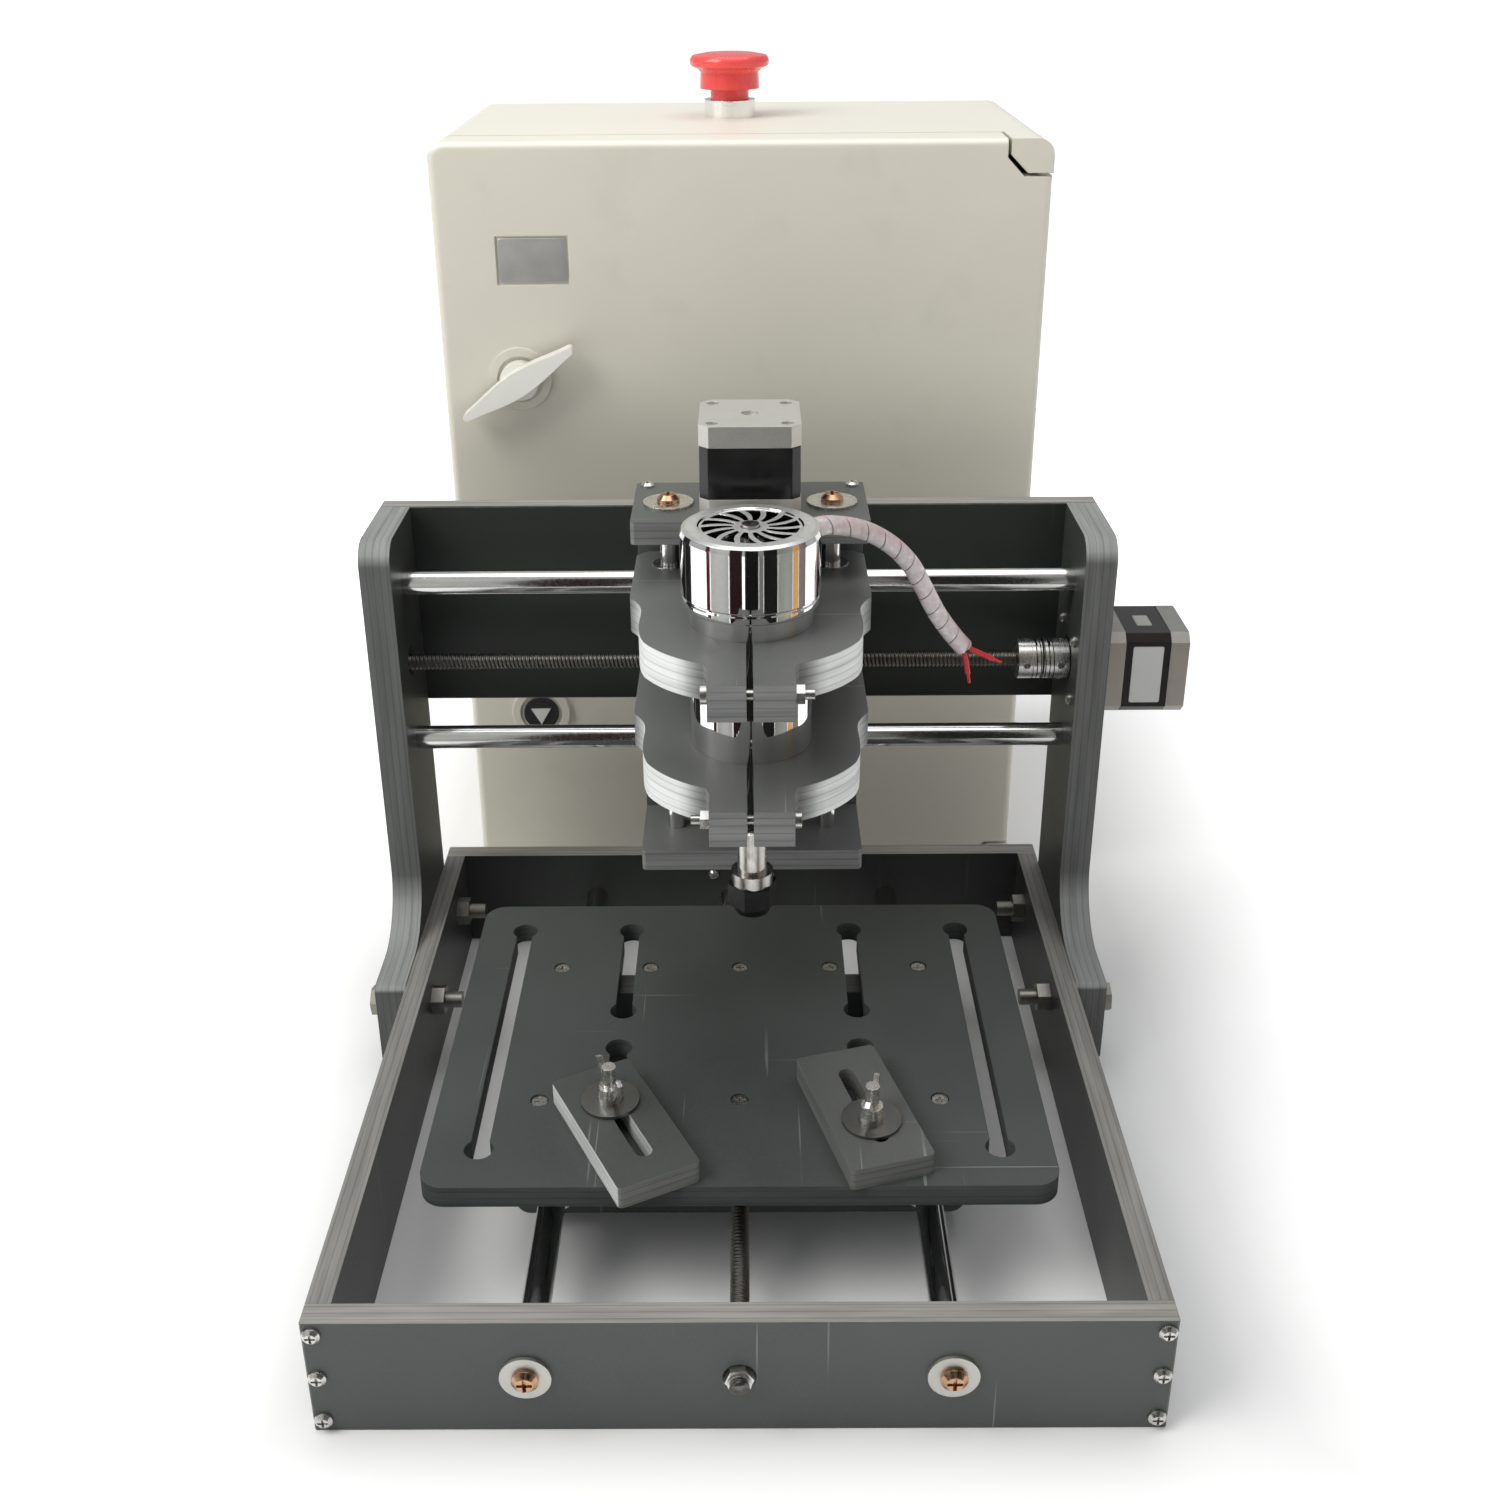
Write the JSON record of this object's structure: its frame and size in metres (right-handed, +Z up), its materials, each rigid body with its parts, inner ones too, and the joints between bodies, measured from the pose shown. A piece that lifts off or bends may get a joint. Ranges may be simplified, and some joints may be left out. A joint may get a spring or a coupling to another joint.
{
  "type": "cnc router",
  "caption": "Desktop CNC router of dark grey plastic board: moving table, gantry with cross and vertical slides, chrome spindle, and a cabinet with a stop button behind.",
  "frame": {"origin": "centre of the whole object's footprint, on the bench", "axes": "+Z up, +X to the operator's right, +Y from the operator towards the cabinet"},
  "size_m": [0.4052, 0.6206, 0.4646],
  "materials": {
    "board_face": "satin grey PVC board, fine grain, scuffed",
    "board_thick": "satin grey PVC board, machined edges",
    "zinc": "zinc-plated steel fasteners",
    "ground_rod": "ground and chromed guide rod",
    "washer": "flat zinc washers",
    "brass_screw": "copper-coloured pan head screws",
    "bearing_steel": "bearing steel",
    "motor_black": "black lacquered laminations",
    "motor_cast": "bead-blasted cast aluminium",
    "screw_thread": "dark oiled leadscrew",
    "coupling": "turned aluminium",
    "cabinet": "pale grey-beige moulded enclosure",
    "cabinet_white": "off-white moulded latch handle",
    "lock_black": "black lock insert",
    "stop_red": "red moulded mushroom head",
    "collar_chrome": "chromed collar",
    "psu_case": "galvanised sheet case",
    "board_green": "circuit board with heat sinks",
    "spindle_chrome": "mirror chromed steel",
    "rotor": "ground steel shaft, dark fan",
    "collet_black": "black oxide steel",
    "lead_wrap": "clear spiral wrap over a red pair",
    "wire_red": "red insulated wire, bare tinned tips",
    "galv_bolt": "dull galvanised hex bolts"
  },
  "bodies": {
    "root": {"front_panel": "board_face", "rear_panel": "board_face", "left_side_wall": "board_face", "right_side_wall": "board_face", "frame_screws": "zinc", "guide_rods": "ground_rod", "rod_end_washers": "washer", "rod_end_screws": "brass_screw", "screw_end_bearings": "bearing_steel", "motor_cores": "motor_black", "motor_caps": "motor_cast", "gantry_left_plate": "board_thick", "gantry_right_plate": "board_thick", "gantry_beam": "board_face", "gantry_bolts": "galv_bolt", "cabinet_shell": "cabinet", "power_supply": "psu_case", "control_board": "board_green", "cabinet_hinge_blocks": "cabinet", "stop_collar": "collar_chrome"},
    "door": {"cabinet_door": "cabinet"},
    "latch": {"latch_handle": "cabinet_white"},
    "lock": {"lock_core": "lock_black"},
    "stop": {"stop_button": "stop_red"},
    "table": {"table_top": "board_face", "table_bearing_plates": "board_thick", "table_bearings_and_nut": "bearing_steel", "table_screws": "zinc"},
    "left_bolt": {"left_clamp_bolt": "zinc"},
    "left_washer": {"left_clamp_washer": "washer"},
    "left_bar": {"left_clamp_bar": "board_face"},
    "left_wing": {"left_wing_nut": "zinc"},
    "right_bolt": {"right_clamp_bolt": "zinc"},
    "right_washer": {"right_clamp_washer": "washer"},
    "right_bar": {"right_clamp_bar": "board_face"},
    "right_wing": {"right_wing_nut": "zinc"},
    "carriage": {"x_carriage_plates": "board_thick", "carriage_bearings_and_nut": "bearing_steel", "carriage_screws": "washer", "z_top_plate": "board_thick", "z_bottom_plate": "board_thick", "z_guide_rods": "ground_rod", "z_rod_screws": "brass_screw", "z_motor_core": "motor_black", "z_motor_caps": "motor_cast"},
    "spindle": {"upper_spindle_clamp": "board_thick", "lower_spindle_clamp": "board_thick", "z_bearings_and_nut": "bearing_steel", "spindle_clamp_bolts": "zinc", "spindle_housing": "spindle_chrome", "fan_cover": "spindle_chrome", "spindle_lead": "lead_wrap", "lead_wires": "wire_red"},
    "rotor": {"rotor_and_fan": "rotor", "collet_nut": "collet_black"},
    "x_screw": {"x_leadscrew": "screw_thread", "x_coupling": "coupling"},
    "y_screw": {"y_leadscrew": "screw_thread", "y_coupling_and_locknut": "coupling"},
    "z_screw": {"z_leadscrew_and_coupling": "screw_thread"}
  },
  "joints": [
    {"name": "door_hinge", "type": "hinge", "parent": "root", "child": "door", "pos_m": [0.14015, 0.11625, 0.2], "axis": [0, 0, 1], "range_deg": [0, 7]},
    {"name": "latch_turn", "type": "hinge", "parent": "door", "child": "latch", "pos_m": [-0.13435, 0.11025, 0.308], "axis": [0, -1, 0], "range_deg": [-32, 58]},
    {"name": "lock_turn", "type": "hinge", "parent": "door", "child": "lock", "pos_m": [-0.13435, 0.11025, 0.1085], "axis": [0, -1, 0], "range_deg": [0, 90]},
    {"name": "stop_press", "type": "slide", "parent": "root", "child": "stop", "axis": [0, 0, -1], "range_m": [0, 0.005]},
    {"name": "table_slide", "type": "slide", "parent": "root", "child": "table", "axis": [0, 1, 0], "range_m": [-0.069, 0.085]},
    {"name": "y_screw_turn", "type": "hinge", "parent": "root", "child": "y_screw", "pos_m": [-0.01735, -0.15475, 0.027], "axis": [0, 1, 0], "continuous": true},
    {"name": "carriage_slide", "type": "slide", "parent": "root", "child": "carriage", "axis": [1, 0, 0], "range_m": [-0.115, 0.085]},
    {"name": "x_screw_turn", "type": "hinge", "parent": "root", "child": "x_screw", "pos_m": [-0.01735, -0.00675, 0.1934], "axis": [1, 0, 0], "continuous": true},
    {"name": "spindle_slide", "type": "slide", "parent": "carriage", "child": "spindle", "axis": [0, 0, 1], "range_m": [-0.05, 0.013]},
    {"name": "z_screw_turn", "type": "hinge", "parent": "carriage", "child": "z_screw", "pos_m": [-0.01135, -0.09425, 0.2], "axis": [0, 0, 1], "continuous": true},
    {"name": "rotor_spin", "type": "hinge", "parent": "spindle", "child": "rotor", "pos_m": [-0.01135, -0.15475, 0.2], "axis": [0, 0, 1], "continuous": true},
    {"name": "left_bolt_slide", "type": "slide", "parent": "table", "child": "left_bolt", "axis": [0, 1, 0], "range_m": [-0.017, 0]},
    {"name": "left_clamp_swivel", "type": "hinge", "parent": "left_bolt", "child": "left_washer", "pos_m": [-0.07215, -0.20275, 0.072], "axis": [0, 0, 1], "continuous": true},
    {"name": "left_bar_slide", "type": "slide", "parent": "left_washer", "child": "left_bar", "axis": [-0.4493, 0.8934, 0], "range_m": [-0.006, 0.034]},
    {"name": "left_wing_turn", "type": "hinge", "parent": "left_bolt", "child": "left_wing", "pos_m": [-0.07215, -0.20275, 0.08], "axis": [0, 0, 1], "continuous": true},
    {"name": "right_bolt_slide", "type": "slide", "parent": "table", "child": "right_bolt", "axis": [0, 1, 0], "range_m": [-0.003, 0.012]},
    {"name": "right_clamp_swivel", "type": "hinge", "parent": "right_bolt", "child": "right_washer", "pos_m": [0.03785, -0.21615, 0.072], "axis": [0, 0, 1], "continuous": true},
    {"name": "right_bar_slide", "type": "slide", "parent": "right_washer", "child": "right_bar", "axis": [-0.274, 0.9617, 0], "range_m": [-0.031, 0.0095]},
    {"name": "right_wing_turn", "type": "hinge", "parent": "right_bolt", "child": "right_wing", "pos_m": [0.03785, -0.21615, 0.08], "axis": [0, 0, 1], "continuous": true}
  ],
  "couplings": [
    {"joint": "y_screw_turn", "follows": "table_slide", "rad_per_m": -1570.8},
    {"joint": "x_screw_turn", "follows": "carriage_slide", "rad_per_m": -1570.8},
    {"joint": "z_screw_turn", "follows": "spindle_slide", "rad_per_m": -1570.8}
  ]
}
